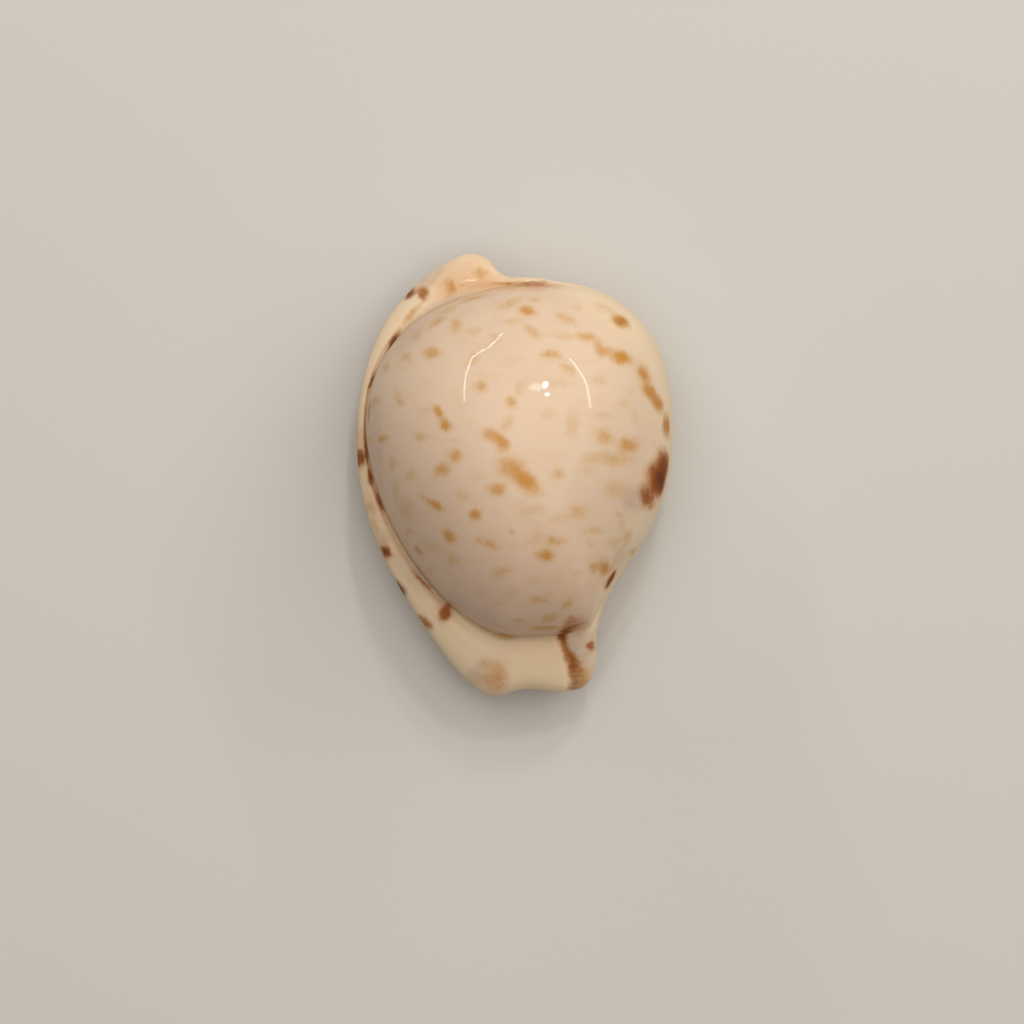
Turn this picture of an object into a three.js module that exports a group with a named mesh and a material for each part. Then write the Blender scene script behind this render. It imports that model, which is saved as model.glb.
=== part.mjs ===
// Cowrie shell: one thick, hollow body with a domed back, a flanged margin and a toothed slit underneath.
//
// The whole surface is one smooth sheet that starts at the top of the dome, runs down to the groove at the
// dome's foot, out over the ledge, round the margin, in across the base to the toothed lip, over the lip, and
// back up inside to the underside of the dome. The sheet is a uniform bicubic B-spline. Its rails run round
// the shell, and every rail has one point for each station of the margin.
//
// Millimetres. +Z is up, +Y is the spire end, +X is the inner lip's side. The origin is on the surface that
// the shell rests on, under the middle of its outline.

import * as THREE from 'three';

// Driving dimensions
const LENGTH = 56;
const WIDTH = 40;
const HEIGHT = 31;
const WALL = 1.5;
const TEETH_PER_STATION = 1.5;
const TOOTH_HEIGHT = 0.8;
const COLUMNS = 96;

// The top of the dome, and the egg that is its foot: middle, half width, half length, taper to the front
const APEX = [0.8, 2.2];
const FOOT = { x: 0.6, y: 1.4, halfWidth: 19.0, halfLength: 21.8, taper: 0.245, shoulder: [1.5, 1.9] };
const FOOT_RISE = 2.7;
const DOME_MIDDLE = 12;

// Where there is no ledge, the foot lies just inside the outline, and a steep flank runs down from it
const FLANK_INSET = 0.4;
const FLANK_HEIGHT = 3.4;

// Stations of the margin, anticlockwise from the notch at the spire end.
// x, y of the outline; height of its edge; ledge strength; groove height; height of the lip; curl of the lip
const STATIONS = [
  [-2.0, 24.8, 9.8, 0.6, 12.6, 7.4, 0.35], // notch at the spire end
  [-2.8, 27.6, 8.0, 1.0, 11.8, 5.0, 0.6],
  [-5.9, 29.1, 6.8, 1.0, 10.8, 3.4, 0.9],
  [-9.6, 27.1, 6.3, 1.0, 9.9, 2.5, 1.0],
  [-13.0, 24.5, 6.1, 1.0, 9.2, 1.8, 1.0],
  [-16.2, 20.8, 6.0, 1.0, 8.6, 1.1, 1.0],
  [-18.5, 16.1, 5.9, 1.0, 8.1, 0.5, 1.0],
  [-19.9, 10.7, 5.8, 1.0, 7.8, 0.1, 1.0],
  [-20.4, 5.0, 5.7, 1.0, 7.6, 0.0, 1.0], // middle of the outer lip
  [-20.2, -0.6, 5.7, 1.0, 7.5, 0.0, 1.0],
  [-19.0, -6.2, 5.7, 1.0, 7.5, 0.0, 1.0],
  [-16.7, -11.6, 5.8, 1.0, 7.7, 0.3, 1.0],
  [-13.8, -16.7, 5.9, 1.0, 8.1, 0.8, 1.0],
  [-10.5, -21.7, 6.0, 1.0, 8.6, 1.4, 1.0],
  [-7.0, -26.4, 5.8, 1.0, 9.0, 1.9, 0.9],
  [-3.0, -29.6, 5.6, 1.0, 9.3, 2.4, 0.6], // front tip of the outer lip
  [0.6, -27.4, 7.0, 1.0, 9.5, 4.9, 0.35],
  [4.4, -28.0, 7.0, 1.0, 9.7, 4.9, 0.35], // notch at the front
  [8.2, -28.7, 6.0, 0.9, 10.2, 2.8, 0.6],
  [10.7, -26.0, 6.2, 0.8, 10.8, 2.0, 0.9],
  [10.4, -21.6, 6.8, 0.5, 11.4, 1.4, 1.0],
  [10.8, -17.5, 7.0, 0.2, 11.4, 0.9, 1.0], // waist
  [12.8, -13.7, 6.9, 0.0, 10.6, 0.5, 1.0],
  [15.8, -9.7, 6.6, 0.0, 9.6, 0.2, 1.0],
  [18.4, -5.2, 6.4, 0.0, 9.2, 0.0, 1.0],
  [19.9, -0.1, 6.4, 0.0, 9.0, 0.0, 1.0],
  [20.3, 5.4, 6.5, 0.0, 9.0, 0.0, 1.0], // widest point of the inner side
  [19.9, 11.1, 6.8, 0.0, 9.4, 0.3, 1.0],
  [18.2, 17.0, 7.4, 0.0, 10.0, 0.9, 1.0],
  [14.6, 21.3, 8.2, 0.0, 11.0, 2.0, 0.9],
  [9.4, 24.0, 9.2, 0.1, 12.0, 3.4, 0.8],
  [3.4, 24.6, 9.8, 0.4, 12.7, 5.2, 0.6], // over the sunken spire
];
const COUNT = STATIONS.length;
const FRONT = 16;

// The slit curves toward both ends, and widens a little toward the front
const SLIT = { x: -5.4, middleY: 4, bend: 0.0085, halfWidth: 1.25, widensFrom: 8, widening: 0.0006 };
const OUTER_RIM = { start: 22.8, step: -3.42 };
const INNER_RIM = { start: -24.4, step: 3.58 };
const NOTCH_RIM = { 0: [-2.7, 22.6], 16: [1.2, -24.2], 17: [3.6, -24.4] };

// How far the middle of a tooth's hollow lies under the plain lip, as a part of the tooth's height
const TOOTH_HOLLOW = 0.45;

// Rings of the mesh, as places along the rails; the toothed ones have twice the columns
const RAILS = { baseMiddle: 17, lip: 18, lipTop: 20, inside: 22, innerApex: 30 };
const DOME_ANGLES = [6, 17, 29, 41, 53, 65, 77];
const INNER_ANGLES = [80, 62, 42, 22, 7];
const COARSE_OUTSIDE = [
  0.7, 1.4, 2.1, 2.8, 3.5, 4.2, 4.9, 5.6, 6.3, 7, 7.7, 8.4,
  9.1, 9.7, 10.3, 11, 11.8, 12.6, 13.3, 14, 14.8, 15.6, 16.6,
];
const TOOTHED = [17.3, 18, 18.7, 19.4, 20.3, 21.2];
const COARSE_INSIDE = [22.4, 23.6, 24.8, 26, 27.2, 28.4];

const smooth = (a, b, x) => THREE.MathUtils.smoothstep(x, a, b);
const mix = (p, q, f) => [p[0] + (q[0] - p[0]) * f, p[1] + (q[1] - p[1]) * f];

// A point of the dome's foot, or of the same egg set in; it has a fuller shoulder at its back right
function footPoint(angle, inset) {
  const s = Math.sin(angle);
  const c = Math.cos(angle);
  const shoulder = s < 0 && c > 0 ? Math.abs(2 * s * c) ** 1.3 : 0;
  const x = FOOT.x - (FOOT.halfWidth - inset) * s * (1 + FOOT.taper * c) + FOOT.shoulder[0] * shoulder;
  const y = FOOT.y + (FOOT.halfLength - inset) * c + FOOT.shoulder[1] * shoulder;
  return [x, y];
}

// The lip's rim: the outer lip first, then the inner lip, with a notch between them at each end
function rimPoint(k) {
  if (NOTCH_RIM[k]) {
    return NOTCH_RIM[k];
  }
  const isOuter = k < FRONT;
  const y = isOuter
    ? OUTER_RIM.start + OUTER_RIM.step * (k - 1)
    : INNER_RIM.start + INNER_RIM.step * (k - FRONT - 2);
  const middle = SLIT.x + SLIT.bend * (y - SLIT.middleY) ** 2;
  const half = SLIT.halfWidth + SLIT.widening * Math.max(SLIT.widensFrom - y, 0) ** 2;
  return [isOuter ? middle - half : middle + half, y];
}

// The direction of each station from the top, halfway between its own and an even spread
function stationAngles() {
  return STATIONS.map(([x, y], k) => {
    const even = (2 * Math.PI * k) / COUNT;
    let own = Math.atan2(APEX[0] - x, y - APEX[1]);
    own += 2 * Math.PI * Math.round((even - own) / (2 * Math.PI));
    return (own + even) / 2;
  });
}

// One ring of a dome: round near its top, and the shape of its foot lower down
function domeRail(degrees, foot, top, footHeight) {
  const s = Math.sin(THREE.MathUtils.degToRad(degrees));
  const c = Math.cos(THREE.MathUtils.degToRad(degrees));
  const blend = s ** 1.5;
  return STATIONS.map((station, k) => {
    const round = footPoint((2 * Math.PI * k) / COUNT, 0);
    const p = mix(APEX, mix(round, foot[k], blend), s);
    const z = DOME_MIDDLE + (footHeight[k] - DOME_MIDDLE) * blend;
    return [p[0], p[1], z + (top - z) * c];
  });
}

// Every rail, from the top of the dome to the underside of its top
function makeRails() {
  const angles = stationAngles();
  const outline = STATIONS.map(([x, y]) => [x, y]);
  const footLoop = (inset) => STATIONS.map((s, k) => {
    const reach = Math.hypot(s[0] - FOOT.x, s[1] - FOOT.y);
    const inside = mix(outline[k], [FOOT.x, FOOT.y], (FLANK_INSET + inset) / reach);
    return mix(inside, footPoint(angles[k], inset), s[3]);
  });
  const foot = footLoop(0);
  const innerFoot = footLoop(WALL);
  const rim = STATIONS.map((station, k) => rimPoint(k));
  const wall = outline.map((p, k) => mix(p, innerFoot[k], 1.07));
  const footHeight = STATIONS.map((s) => {
    const bare = s[2] + FLANK_HEIGHT;
    return bare + (s[4] + FOOT_RISE - bare) * s[3];
  });
  const innerFootHeight = footHeight.map((z) => z + 1);
  const rail = (place, height) => STATIONS.map((s, k) => {
    const [, , edge, ledge, groove, lip, curl] = s;
    const p = place(k);
    return [p[0], p[1], height({ k, edge, ledge, groove, lip, curl })];
  });
  const shelf = (f, ledgeHeight) => rail((k) => mix(outline[k], foot[k], f), (s) => {
    const flank = s.edge + (footHeight[s.k] - s.edge) * f;
    return flank + (ledgeHeight(s) - flank) * s.ledge;
  });
  const base = (f, height) => rail((k) => mix(outline[k], rim[k], f), height);
  const valley = ({ k }) => 1.5 / Math.hypot(outline[k][0] - foot[k][0], outline[k][1] - foot[k][1]);
  return [
    rail(() => APEX, () => HEIGHT),
    ...DOME_ANGLES.map((a) => domeRail(a, foot, HEIGHT, footHeight)),
    rail((k) => foot[k], ({ k }) => footHeight[k]),
    shelf(0.985, (s) => s.groove + 0.7),
    shelf(0.9, (s) => s.groove - valley(s)),
    shelf(0.72, (s) => s.groove + 0.2 + 0.7 * valley(s)),
    shelf(0.44, (s) => 0.6 * s.groove + 0.4 * s.edge + 1.0),
    shelf(0.12, (s) => s.edge + 1.5),
    rail((k) => mix(outline[k], APEX, 0.01), (s) => s.edge - 1.2),
    base(0.16, (s) => s.lip + 0.24 * (s.edge - s.lip)),
    base(0.42, (s) => s.lip + 0.25),
    base(0.7, (s) => s.lip - 0.45),
    base(0.9, (s) => s.lip + 0.05),
    base(0.99, (s) => s.lip + 1.2 * s.curl),
    base(1.0, (s) => s.lip + 2.3 * s.curl),
    base(0.94, (s) => s.lip + 3.4 * s.curl),
    rail((k) => mix(rim[k], wall[k], 0.32), (s) => s.lip + 4.3 * s.curl),
    rail((k) => mix(rim[k], wall[k], 0.72), (s) => s.lip + 4.6 * s.curl + 0.4),
    rail((k) => mix(APEX, innerFoot[k], 0.97), ({ k }) => footHeight[k] - 1),
    ...INNER_ANGLES.map((a) => domeRail(a, innerFoot, HEIGHT - WALL, innerFootHeight)),
    rail(() => APEX, () => HEIGHT - WALL),
  ];
}

// Weights of the four control points that a uniform cubic B-spline uses
function weights(f) {
  return [
    (1 - f) ** 3 / 6,
    (3 * f ** 3 - 6 * f ** 2 + 4) / 6,
    (-3 * f ** 3 + 3 * f ** 2 + 3 * f + 1) / 6,
    f ** 3 / 6,
  ];
}

const rails = makeRails();
const across = (rail) => rail.map((p, k) => rail[(k + COUNT / 2) % COUNT]);
const cage = [across(rails[1]), ...rails, across(rails[rails.length - 2])];

// The plain sheet: t is the station, v is the place along the rails
function sheet(t, v) {
  const column = Math.floor(t);
  const row = Math.min(Math.floor(v), rails.length - 2);
  const wt = weights(t - column);
  const wv = weights(v - row);
  const point = new THREE.Vector3();
  for (let a = 0; a < 4; a += 1) {
    for (let b = 0; b < 4; b += 1) {
      const p = cage[row + a][(column + b - 1 + COUNT) % COUNT];
      const w = wv[a] * wt[b];
      point.x += w * p[0];
      point.y += w * p[1];
      point.z += w * p[2];
    }
  }
  return point;
}

// How far a tooth stands out of the lip here; the teeth fade before the notches
function tooth(t, v) {
  const ridge = 0.5 + 0.5 * Math.cos(2 * Math.PI * t * TEETH_PER_STATION) - TOOTH_HOLLOW;
  const outer = smooth(0.8, 2, t) * (1 - smooth(14.6, 15.6, t));
  const inner = smooth(17.4, 18.6, t) * (1 - smooth(30.2, 31.2, t)) * (0.85 - 0.35 * smooth(20, 29, t));
  const start = t < FRONT ? RAILS.baseMiddle + 0.2 : RAILS.lip - 0.4;
  const band = smooth(start, start + 0.9, v) * (1 - smooth(RAILS.lipTop + 0.5, RAILS.inside, v));
  return TOOTH_HEIGHT * ridge * (outer + inner) * band;
}

// The finished surface, kept on or above the surface that the shell rests on
function surface(t, v) {
  const point = sheet(t, v);
  const height = tooth(t, v);
  if (height !== 0) {
    const h = 0.05;
    const along = sheet(t + h, v).sub(sheet(t - h + COUNT, v));
    const down = sheet(t, v + h).sub(sheet(t, v - h));
    point.addScaledVector(along.cross(down).normalize(), -height);
  }
  point.z = Math.max(point.z, 0);
  return point;
}

// The closed mesh: a fan at each pole, and bands between rings, some of them with twice the columns
function shellGeometry() {
  const positions = [];
  const triangles = [];
  const addRing = (v, columns) => {
    const first = positions.length;
    for (let i = 0; i < columns; i += 1) {
      positions.push(surface((COUNT * i) / columns, v));
    }
    return { first, columns };
  };
  const at = (ring, i) => ring.first + ((i + ring.columns) % ring.columns);
  const join = (upper, lower) => {
    for (let i = 0; i < Math.min(upper.columns, lower.columns); i += 1) {
      if (upper.columns === lower.columns) {
        triangles.push([at(upper, i), at(lower, i), at(lower, i + 1)]);
        triangles.push([at(upper, i), at(lower, i + 1), at(upper, i + 1)]);
      } else if (upper.columns < lower.columns) {
        triangles.push([at(upper, i), at(lower, 2 * i), at(lower, 2 * i + 1)]);
        triangles.push([at(upper, i), at(lower, 2 * i + 1), at(upper, i + 1)]);
        triangles.push([at(upper, i + 1), at(lower, 2 * i + 1), at(lower, 2 * i + 2)]);
      } else {
        triangles.push([at(upper, 2 * i), at(lower, i), at(upper, 2 * i + 1)]);
        triangles.push([at(upper, 2 * i + 1), at(lower, i), at(lower, i + 1)]);
        triangles.push([at(upper, 2 * i + 1), at(lower, i + 1), at(upper, 2 * i + 2)]);
      }
    }
  };
  const top = positions.push(surface(0, 0)) - 1;
  const rings = [
    ...COARSE_OUTSIDE.map((v) => addRing(v, COLUMNS)),
    ...TOOTHED.map((v) => addRing(v, 2 * COLUMNS)),
    ...COARSE_INSIDE.map((v) => addRing(v, COLUMNS)),
  ];
  const bottom = positions.push(surface(0, RAILS.innerApex)) - 1;
  rings.slice(1).forEach((ring, i) => join(rings[i], ring));
  const last = rings[rings.length - 1];
  for (let i = 0; i < COLUMNS; i += 1) {
    triangles.push([top, at(rings[0], i), at(rings[0], i + 1)]);
    triangles.push([bottom, at(last, i + 1), at(last, i)]);
  }
  const geometry = new THREE.BufferGeometry();
  const coordinates = positions.flatMap((point) => point.toArray());
  geometry.setAttribute('position', new THREE.Float32BufferAttribute(coordinates, 3));
  geometry.setIndex(triangles.flat());
  return geometry;
}

// Set the body to its exact size, with the origin under the middle of its outline
function fitToSize(geometry) {
  geometry.computeBoundingBox();
  const { min, max } = geometry.boundingBox;
  geometry.translate(-(min.x + max.x) / 2, -(min.y + max.y) / 2, -min.z);
  geometry.scale(WIDTH / (max.x - min.x), LENGTH / (max.y - min.y), HEIGHT / (max.z - min.z));
  geometry.computeVertexNormals();
  return geometry;
}

const glaze = new THREE.MeshStandardMaterial({ color: 0xe3cfae, roughness: 0.18, metalness: 0 });
glaze.name = 'shell';
const shell = new THREE.Mesh(fitToSize(shellGeometry()), glaze);
shell.name = 'shell';

const cowrie = new THREE.Group();
cowrie.add(shell);

export default cowrie;
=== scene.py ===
import math

import bpy
import numpy as np
from mathutils import Matrix, Vector, noise


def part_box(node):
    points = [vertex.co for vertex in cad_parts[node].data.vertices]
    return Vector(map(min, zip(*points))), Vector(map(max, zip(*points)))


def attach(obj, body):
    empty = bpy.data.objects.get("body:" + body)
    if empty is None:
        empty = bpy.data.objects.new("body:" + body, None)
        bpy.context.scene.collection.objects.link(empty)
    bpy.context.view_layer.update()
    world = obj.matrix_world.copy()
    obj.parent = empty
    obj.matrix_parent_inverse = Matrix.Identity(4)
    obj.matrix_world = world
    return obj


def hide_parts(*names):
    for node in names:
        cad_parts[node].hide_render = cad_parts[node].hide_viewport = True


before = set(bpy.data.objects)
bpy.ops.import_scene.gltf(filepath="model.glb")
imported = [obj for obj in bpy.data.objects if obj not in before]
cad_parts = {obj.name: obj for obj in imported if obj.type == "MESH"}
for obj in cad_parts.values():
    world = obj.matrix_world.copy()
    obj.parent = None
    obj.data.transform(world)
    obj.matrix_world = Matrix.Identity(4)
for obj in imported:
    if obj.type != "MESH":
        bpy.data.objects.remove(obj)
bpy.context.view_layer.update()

bl_info = {
    "name": "Cowrie shell",
    "version": (1, 0, 0),
    "blender": (4, 5, 0),
    "location": "View3D > Sidebar > Cowrie",
    "description": "Models a glossy cowrie shell and sets it in a small studio",
    "category": "Object",
}

MM = 0.001
SHELL_LOW, SHELL_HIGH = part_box("shell")
CENTRE = (SHELL_LOW + SHELL_HIGH) / 2

# ---------------------------------------------------------------------------
# The shell's form: the same sheet as the frame's shell, in millimetres.
# +Z is up, +Y is the spire end and +X is the inner lip's side.
# ---------------------------------------------------------------------------

HEIGHT = 31.0
WALL = 1.5
TEETH_PER_STATION = 1.5
APEX = np.array([0.8, 2.2])
FOOT_MIDDLE = np.array([0.6, 1.4])
FOOT_HALF_WIDTH = 19.0
FOOT_HALF_LENGTH = 21.8
FOOT_TAPER = 0.245
FOOT_SHOULDER = (1.5, 1.9)
SHOULDER_SHARPNESS = 1.3
FOOT_RISE = 2.7
DOME_MIDDLE = 12.0
FOOT_BLEND = 1.5
VALLEY_DEPTH = 1.5
WALL_REACH = 1.07

# Where there is no ledge, the foot lies just inside the outline, and a steep flank runs down from it
FLANK_INSET = 0.4
FLANK_HEIGHT = 3.4

# Stations of the margin, anticlockwise from the notch at the spire end.
# x, y of the outline; height of its edge; ledge strength; groove height; height of the lip; curl of the lip
STATIONS = np.array([
    (-2.0, 24.8, 9.8, 0.6, 12.6, 7.4, 0.35),  # notch at the spire end
    (-2.8, 27.6, 8.0, 1.0, 11.8, 5.0, 0.6),
    (-5.9, 29.1, 6.8, 1.0, 10.8, 3.4, 0.9),
    (-9.6, 27.1, 6.3, 1.0, 9.9, 2.5, 1.0),
    (-13.0, 24.5, 6.1, 1.0, 9.2, 1.8, 1.0),
    (-16.2, 20.8, 6.0, 1.0, 8.6, 1.1, 1.0),
    (-18.5, 16.1, 5.9, 1.0, 8.1, 0.5, 1.0),
    (-19.9, 10.7, 5.8, 1.0, 7.8, 0.1, 1.0),
    (-20.4, 5.0, 5.7, 1.0, 7.6, 0.0, 1.0),  # middle of the outer lip
    (-20.2, -0.6, 5.7, 1.0, 7.5, 0.0, 1.0),
    (-19.0, -6.2, 5.7, 1.0, 7.5, 0.0, 1.0),
    (-16.7, -11.6, 5.8, 1.0, 7.7, 0.3, 1.0),
    (-13.8, -16.7, 5.9, 1.0, 8.1, 0.8, 1.0),
    (-10.5, -21.7, 6.0, 1.0, 8.6, 1.4, 1.0),
    (-7.0, -26.4, 5.8, 1.0, 9.0, 1.9, 0.9),
    (-3.0, -29.6, 5.6, 1.0, 9.3, 2.4, 0.6),  # front tip of the outer lip
    (0.6, -27.4, 7.0, 1.0, 9.5, 4.9, 0.35),
    (4.4, -28.0, 7.0, 1.0, 9.7, 4.9, 0.35),  # notch at the front
    (8.2, -28.7, 6.0, 0.9, 10.2, 2.8, 0.6),
    (10.7, -26.0, 6.2, 0.8, 10.8, 2.0, 0.9),
    (10.4, -21.6, 6.8, 0.5, 11.4, 1.4, 1.0),
    (10.8, -17.5, 7.0, 0.2, 11.4, 0.9, 1.0),  # waist
    (12.8, -13.7, 6.9, 0.0, 10.6, 0.5, 1.0),
    (15.8, -9.7, 6.6, 0.0, 9.6, 0.2, 1.0),
    (18.4, -5.2, 6.4, 0.0, 9.2, 0.0, 1.0),
    (19.9, -0.1, 6.4, 0.0, 9.0, 0.0, 1.0),
    (20.3, 5.4, 6.5, 0.0, 9.0, 0.0, 1.0),  # widest point of the inner side
    (19.9, 11.1, 6.8, 0.0, 9.4, 0.3, 1.0),
    (18.2, 17.0, 7.4, 0.0, 10.0, 0.9, 1.0),
    (14.6, 21.3, 8.2, 0.0, 11.0, 2.0, 0.9),
    (9.4, 24.0, 9.2, 0.1, 12.0, 3.4, 0.8),
    (3.4, 24.6, 9.8, 0.4, 12.7, 5.2, 0.6),  # over the sunken spire
])
COUNT = len(STATIONS)
FRONT = 16

# The slit curves toward both ends, and widens a little toward the front
SLIT_MIDDLE, SLIT_BEND, SLIT_BEND_MIDDLE = -5.4, 0.0085, 4
SLIT_HALF_WIDTH, SLIT_WIDENING, SLIT_WIDENS_FROM = 1.25, 0.0006, 8
OUTER_RIM_START, OUTER_RIM_STEP = 22.8, -3.42
INNER_RIM_START, INNER_RIM_STEP = -24.4, 3.58
NOTCH_RIM = {0: (-2.7, 22.6), 16: (1.2, -24.2), 17: (3.6, -24.4)}
DOME_ANGLES = (6, 17, 29, 41, 53, 65, 77)
INNER_ANGLES = (80, 62, 42, 22, 7)

# Places along the rails, from the top of the dome to the underside of its top
FOOT, GROOVE, CREST, EDGE, BASE, LIP, LIP_TOP, INSIDE, INNER_APEX = 8, 10, 11, 14, 17, 18, 20, 22, 30

# How many rings of the mesh lie between one place and the next
RING_PLACES = (0, FOOT - 1, FOOT, CREST + 1, EDGE + 1, BASE, LIP, LIP_TOP + 1, INSIDE + 1, INNER_APEX)
RING_COUNTS = (52, 12, 42, 24, 14, 12, 22, 8, 14)
SEGMENTS = 480


def smooth(low, high, x):
    """A smooth step from 0 at low to 1 at high."""
    u = np.clip((x - low) / (high - low), 0, 1)
    return u * u * (3 - 2 * u)


def band(rise, fall, x):
    """1 between two smooth steps, each given by its start and its end, and 0 outside them."""
    return smooth(*rise, x) * (1 - smooth(*fall, x))


def lip_rim():
    """The rim of the slit at each station: the outer lip, the inner lip, and the notches between them."""
    rim = np.zeros((COUNT, 2))
    for k in range(COUNT):
        if k < FRONT:
            side, y = -1, OUTER_RIM_START + OUTER_RIM_STEP * (k - 1)
        else:
            side, y = 1, INNER_RIM_START + INNER_RIM_STEP * (k - FRONT - 2)
        middle = SLIT_MIDDLE + SLIT_BEND * (y - SLIT_BEND_MIDDLE) ** 2
        half = SLIT_HALF_WIDTH + SLIT_WIDENING * max(SLIT_WIDENS_FROM - y, 0) ** 2
        rim[k] = NOTCH_RIM.get(k, (middle + side * half, y))
    return rim


def foot_loop(angle, inset):
    """The dome's foot, an egg with a fuller shoulder at its back right, set in by a wall's thickness."""
    s, c = np.sin(angle), np.cos(angle)
    shoulder = np.where((s < 0) & (c > 0), np.abs(2 * s * c) ** SHOULDER_SHARPNESS, 0)
    x = FOOT_MIDDLE[0] - (FOOT_HALF_WIDTH - inset) * s * (1 + FOOT_TAPER * c) + FOOT_SHOULDER[0] * shoulder
    y = FOOT_MIDDLE[1] + (FOOT_HALF_LENGTH - inset) * c + FOOT_SHOULDER[1] * shoulder
    return np.column_stack([x, y])


def dome_rail(degrees, foot, top, foot_height):
    """One ring of a dome: round near its top, and the shape of its foot lower down."""
    s, c = math.sin(math.radians(degrees)), math.cos(math.radians(degrees))
    blend = s ** FOOT_BLEND
    round_loop = foot_loop(2 * np.pi * np.arange(COUNT) / COUNT, 0)
    place = APEX + s * (round_loop * (1 - blend) + foot * blend - APEX)
    low = DOME_MIDDLE + (foot_height - DOME_MIDDLE) * blend
    return np.column_stack([place, low + (top - low) * c])


def shell_rails():
    """Every rail of the sheet, as an array of rails, stations and coordinates."""
    outline = STATIONS[:, :2]
    edge, ledge, groove, lip, curl = STATIONS[:, 2:].T
    even = 2 * np.pi * np.arange(COUNT) / COUNT
    own = np.arctan2(APEX[0] - outline[:, 0], outline[:, 1] - APEX[1])
    own += 2 * np.pi * np.round((even - own) / (2 * np.pi))
    angles = (own + even) / 2
    reach = np.linalg.norm(outline - FOOT_MIDDLE, axis=1, keepdims=True)

    def whole_foot(inset):
        inside = outline + (FOOT_MIDDLE - outline) * (FLANK_INSET + inset) / reach
        return inside + (foot_loop(angles, inset) - inside) * ledge[:, None]

    foot, inner_foot = whole_foot(0), whole_foot(WALL)
    foot_height = edge + FLANK_HEIGHT + (groove + FOOT_RISE - edge - FLANK_HEIGHT) * ledge
    rim = lip_rim()
    wall = outline + (inner_foot - outline) * WALL_REACH
    valley = VALLEY_DEPTH / np.linalg.norm(outline - foot, axis=1)

    def rail(place, height):
        return np.column_stack([place, np.broadcast_to(height, COUNT)])

    def between(a, b, f, height):
        return rail(a + (b - a) * f, height)

    def shelf(f, ledge_height):
        flank = edge + (foot_height - edge) * f
        return between(outline, foot, f, flank + (ledge_height - flank) * ledge)

    apex = np.tile(APEX, (COUNT, 1))
    return np.array([
        rail(apex, HEIGHT),
        *[dome_rail(a, foot, HEIGHT, foot_height) for a in DOME_ANGLES],
        rail(foot, foot_height),
        shelf(0.985, groove + 0.7),
        shelf(0.9, groove - valley),
        shelf(0.72, groove + 0.2 + 0.7 * valley),
        shelf(0.44, 0.6 * groove + 0.4 * edge + 1.0),
        shelf(0.12, edge + 1.5),
        between(outline, apex, 0.01, edge - 1.2),
        between(outline, rim, 0.16, lip + 0.24 * (edge - lip)),
        between(outline, rim, 0.42, lip + 0.25),
        between(outline, rim, 0.7, lip - 0.45),
        between(outline, rim, 0.9, lip + 0.05),
        between(outline, rim, 0.99, lip + 1.2 * curl),
        between(outline, rim, 1.0, lip + 2.3 * curl),
        between(outline, rim, 0.94, lip + 3.4 * curl),
        between(rim, wall, 0.32, lip + 4.3 * curl),
        between(rim, wall, 0.72, lip + 4.6 * curl + 0.4),
        between(apex, inner_foot, 0.97, foot_height - 1),
        *[dome_rail(a, inner_foot, HEIGHT - WALL, foot_height + 1) for a in INNER_ANGLES],
        rail(apex, HEIGHT - WALL),
    ])


def spline_weights(f):
    """Weights of the four control points that a uniform cubic B-spline uses."""
    return np.stack([
        (1 - f) ** 3,
        3 * f ** 3 - 6 * f ** 2 + 4,
        -3 * f ** 3 + 3 * f ** 2 + 3 * f + 1,
        f ** 3,
    ], -1) / 6


def sheet(t, v):
    """The plain sheet at station t and place v along the rails."""
    rails = shell_rails()
    across = (np.arange(COUNT) + COUNT // 2) % COUNT
    cage = np.concatenate([rails[1][across][None], rails, rails[-2][across][None]])
    column = np.floor(t).astype(int)
    row = np.minimum(np.floor(v).astype(int), len(rails) - 2)
    wt, wv = spline_weights(t - column), spline_weights(v - row)
    point = np.zeros(t.shape + (3,))
    for a in range(4):
        for b in range(4):
            weight = (wv[..., a] * wt[..., b])[..., None]
            point += weight * cage[row + a, (column + b - 1) % COUNT]
    return point


def outward(point):
    """The unit normal of a grid of points, rows down the rails and columns round the shell."""
    along = np.roll(point, -1, 1) - np.roll(point, 1, 1)
    down = np.gradient(point, axis=0)
    normal = np.cross(down, along)
    return normal / np.maximum(np.linalg.norm(normal, axis=-1, keepdims=True), 1e-12)


# ---------------------------------------------------------------------------
# Relief on the sheet
# ---------------------------------------------------------------------------

# The seam where the inner lip's end overlaps the front platform, from the waist to the front edge
SEAM = (
    (7.8, -17.4), (6.2, -18.6), (5.4, -20.0), (5.6, -21.0), (6.1, -22.2), (6.6, -23.6), (6.9, -25.2),
    (6.9, -27.0), (6.6, -28.8),
)
SEAM_LEFT, SEAM_RIGHT = 0.4, 1.2

# The brown stain along the seam's right side: y, strength and width
SEAM_STAIN = np.array([
    (-28.8, 0.36, 1.8), (-27.0, 0.4, 1.9), (-25.4, 0.55, 1.8), (-24.0, 0.8, 1.4), (-22.6, 0.72, 1.0),
    (-21.4, 0.7, 0.7), (-20.3, 1.0, 0.9), (-19.3, 0.85, 1.3), (-18.5, 0.6, 1.3), (-17.4, 0.0, 1.0),
])

# Its left edge, in millimetres from the seam, and its fade on the right, in parts of its width
STAIN_EDGE = (-0.7, 0.5)
STAIN_FADE = (0.3, 1.8)

# The teeth: the stations between which each row rises and fades, and how far their hollows lie under the lip
OUTER_ROW = ((0.8, 2), (14.6, 15.6))
INNER_ROW = ((17.4, 18.6), (30.2, 31.2))
TOOTH_HOLLOW = 0.45

# The sunken spire: the middle of its pit, and the height or depth, the radius and the width of its parts
SPIRE = (2.2, 24.4, 12.6)
SPIRE_TURN_PER_MM = 3.2
PIT_DEPTH, PIT_RADIUS = 0.45, 0.9
RING_HEIGHT, RING_RADIUS, RING_WIDTH = 0.3, 1.9, 0.8

RIPPLE_LENGTH = 3.0

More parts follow.
